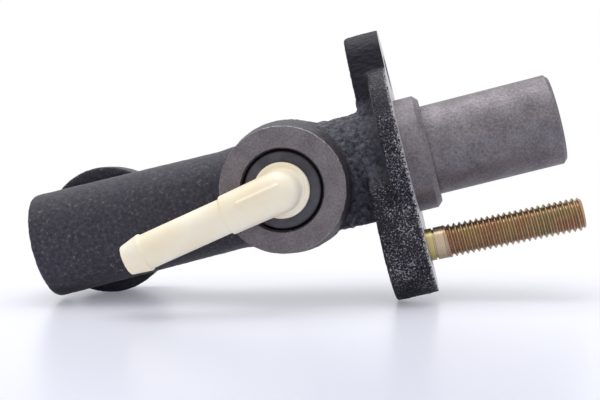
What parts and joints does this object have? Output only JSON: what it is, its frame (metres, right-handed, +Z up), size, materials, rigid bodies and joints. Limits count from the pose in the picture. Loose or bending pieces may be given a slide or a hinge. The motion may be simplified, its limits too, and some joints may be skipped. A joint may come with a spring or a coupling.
{
  "type": "clutch master cylinder",
  "caption": "Iron clutch master cylinder with a two-eared flange, turned spigot, swivelling nylon inlet elbow, stud and sprung piston.",
  "frame": {"origin": "where the bore's axis crosses the machined flange face, at the root of the pilot collar", "axes": "+X along the bore out of the spigot, -Y out of the fluid inlet, +Z up"},
  "size_m": [0.1258, 0.0525, 0.0612],
  "materials": {
    "black_casting": "sand cast, black coat, machined faces bare",
    "yellow_zinc": "zinc plated and passivated yellow",
    "cream_nylon": "moulded, satin",
    "black_rubber": "moulded, matt",
    "turned_aluminium": "turned",
    "spring_steel": "oiled"
  },
  "bodies": {
    "cylinder": {"body_casting": "black_casting", "mounting_stud": "yellow_zinc", "circlip": "spring_steel", "stop_washer": "spring_steel", "return_spring": "spring_steel", "inlet_grommet": "black_rubber"},
    "plunger": {"piston": "turned_aluminium", "cup_washer": "spring_steel", "primary_cup": "black_rubber", "secondary_cup": "black_rubber", "spring_seat": "spring_steel"},
    "elbow": {"inlet_elbow": "cream_nylon"}
  },
  "joints": [
    {"name": "piston_slide", "type": "slide", "parent": "cylinder", "child": "plunger", "axis": [-1, 0, 0], "range_m": [0, 0.025], "stiffness_N_per_m": 900, "springref_m": -0.02, "deforming": ["return_spring"]},
    {"name": "elbow_swivel", "type": "hinge", "parent": "cylinder", "child": "elbow", "pos_m": [-0.0275, -0.02, 0], "axis": [0, -1, 0], "range_deg": [-60, 60]}
  ]
}
